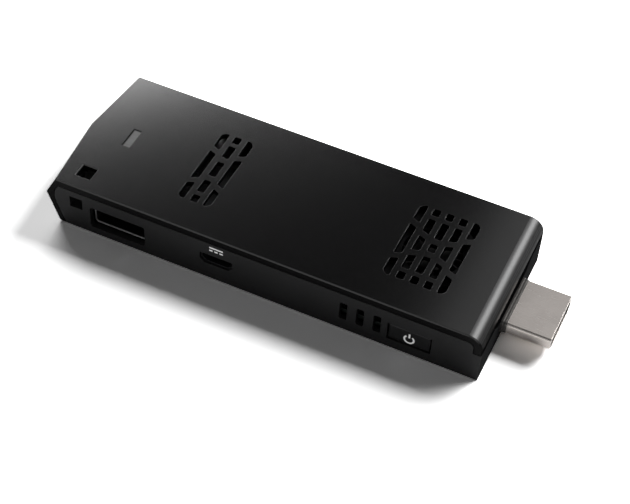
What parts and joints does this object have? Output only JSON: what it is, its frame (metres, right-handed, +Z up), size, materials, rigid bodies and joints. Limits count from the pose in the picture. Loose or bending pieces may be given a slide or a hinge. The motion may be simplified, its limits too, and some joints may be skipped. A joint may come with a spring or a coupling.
{
  "type": "hdmi_stick_computer",
  "caption": "Pocket stick computer: a folded satin black cover over a flat tray, with vents, a blower inside, side sockets, a press button and a display plug on the end.",
  "frame": {"origin": "Under the middle of the outline, plug included, on the underside.", "axes": "+X from the folded end to the display plug, -Y the side with the power button, +Z up."},
  "size_m": [0.1145, 0.0376, 0.0125],
  "materials": {
    "cover_plastic": "satin moulded, fine grain",
    "tray_plastic": "satin moulded, fine grain",
    "button_plastic": "satin",
    "light_guide": "translucent smoke",
    "screw_steel": "black oxide",
    "plug_metal": "nickel plate",
    "socket_metal": "nickel plate",
    "contact_gold": "gold flash",
    "insulator_black": "moulded",
    "insulator_dark": "moulded",
    "board_laminate": "solder mask",
    "module_laminate": "solder mask",
    "chip_black": "moulded",
    "die_silicon": "polished",
    "pad_soft": "soft",
    "can_metal": "tinned",
    "spreader_metal": "black anodised",
    "fin_metal": "plain",
    "blower_plastic": "moulded",
    "impeller_plastic": "moulded",
    "magnet_ferrite": "sintered",
    "bearing_bronze": "sintered",
    "copper_coil": "enamelled",
    "aerial_metal": "stamped",
    "lead_sheath": "extruded",
    "capacitor_body": "fired",
    "lamp_clear": "clear"
  },
  "bodies": {
    "case": {"top_cover": "cover_plastic", "bottom_tray": "tray_plastic", "status_window": "light_guide", "case_screws": "screw_steel", "switch_body": "can_metal", "main_board": "board_laminate", "processor": "board_laminate", "processor_die": "die_silicon", "thermal_pad": "pad_soft", "memory_chips": "chip_black", "storage_chip": "chip_black", "power_chip": "chip_black", "power_inductors": "chip_black", "board_capacitors": "capacitor_body", "clock_crystal": "can_metal", "status_lamp": "lamp_clear", "wireless_module": "module_laminate", "wireless_shield": "can_metal", "aerial_sockets": "contact_gold", "aerial_lead_plugs": "can_metal", "aerial_carrier": "insulator_dark", "aerial_near": "aerial_metal", "aerial_far": "aerial_metal", "aerial_lead_near": "lead_sheath", "aerial_lead_far": "lead_sheath", "usb_shell_near": "socket_metal", "usb_tongue_near": "insulator_dark", "usb_contacts_near": "contact_gold", "usb_shell_far": "socket_metal", "usb_tongue_far": "insulator_dark", "usb_contacts_far": "contact_gold", "power_socket_shell": "socket_metal", "power_socket_tongue": "insulator_black", "power_socket_contacts": "contact_gold", "card_slot_cover": "socket_metal", "card_slot_base": "insulator_black", "card_slot_contacts": "contact_gold", "plug_shell": "plug_metal", "plug_insulator": "insulator_black", "plug_contacts": "contact_gold", "plug_collar": "plug_metal", "heat_spreader": "spreader_metal", "outlet_fins": "fin_metal", "spreader_standoffs": "contact_gold", "spreader_screws": "screw_steel", "blower_housing": "blower_plastic", "blower_lid": "spreader_metal", "blower_screws": "screw_steel", "fan_bearing": "bearing_bronze", "fan_stator": "copper_coil", "fan_header": "insulator_dark", "fan_lead": "lead_sheath"},
    "button": {"power_button": "button_plastic"},
    "plunger": {"switch_plunger": "insulator_black"},
    "impeller": {"fan_impeller": "impeller_plastic", "fan_shaft": "screw_steel", "fan_magnet": "magnet_ferrite"}
  },
  "joints": [
    {"name": "power_button_press", "type": "slide", "parent": "case", "child": "button", "axis": [0, 1, 0], "range_m": [0, 0.00035], "stiffness_N_per_m": 800, "springref_m": -0.0005},
    {"name": "switch_plunger_press", "type": "slide", "parent": "case", "child": "plunger", "axis": [0, 1, 0], "range_m": [0, 0.00035]},
    {"name": "fan_spin", "type": "hinge", "parent": "case", "child": "impeller", "pos_m": [0.02735, 0.00059, 0.0052], "axis": [0, 0, 1], "continuous": true}
  ],
  "couplings": [
    {"joint": "switch_plunger_press", "follows": "power_button_press", "ratio": 1}
  ]
}
